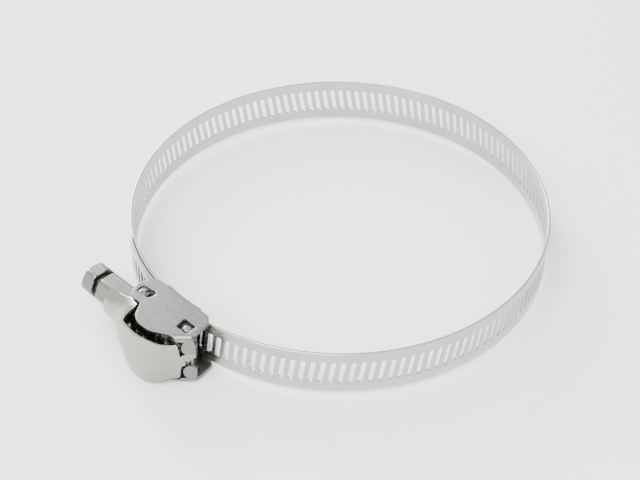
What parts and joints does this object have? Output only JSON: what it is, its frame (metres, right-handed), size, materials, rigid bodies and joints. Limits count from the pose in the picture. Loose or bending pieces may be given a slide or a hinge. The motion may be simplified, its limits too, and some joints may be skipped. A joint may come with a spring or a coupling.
{
  "type": "quick-release worm-drive hose clamp",
  "caption": "Round slotted steel band clamp with a worm screw in a hinged housing that swings off the band for quick release.",
  "frame": {"origin": "middle of the bounding box, at the height of the lower cheek's outer face", "axes": "+Z along the ring's axis; the housing is on the -Y side of the ring; the screw lies along X with its hexagon head towards -X"},
  "size_m": [0.1104, 0.1256, 0.0154],
  "materials": {
    "band_steel": "rolled stainless strip, bright satin",
    "plate_steel": "stamped stainless sheet, satin",
    "cover_steel": "drawn stainless sheet, semi-bright",
    "screw_steel": "cold-headed and turned stainless, semi-bright"
  },
  "bodies": {
    "base": {"saddle": "plate_steel", "band_fixed_half": "band_steel"},
    "bridge": {"worm_carrier": "plate_steel", "bridge_cover": "cover_steel", "pivot_pin": "screw_steel"},
    "screw": {"worm_screw": "screw_steel"},
    "free_band": {"band_free_half": "band_steel"}
  },
  "joints": [
    {"name": "bridge_swing", "type": "hinge", "parent": "base", "child": "bridge", "pos_m": [0.00799, -0.05219, 0.0077], "axis": [0, 0, 1], "range_deg": [0, 90]},
    {"name": "screw_spin", "type": "hinge", "parent": "bridge", "child": "screw", "pos_m": [-0.01021, -0.05259, 0.0077], "axis": [1, 0, 0], "range_deg": [0, 1080]},
    {"name": "band_flex", "type": "hinge", "parent": "base", "child": "free_band", "pos_m": [-0.00021, 0.06246, 0.0077], "axis": [0, 0, 1], "range_deg": [-3.72, 0]}
  ],
  "couplings": [
    {"joint": "band_flex", "follows": "screw_spin", "ratio": -0.0034424}
  ]
}
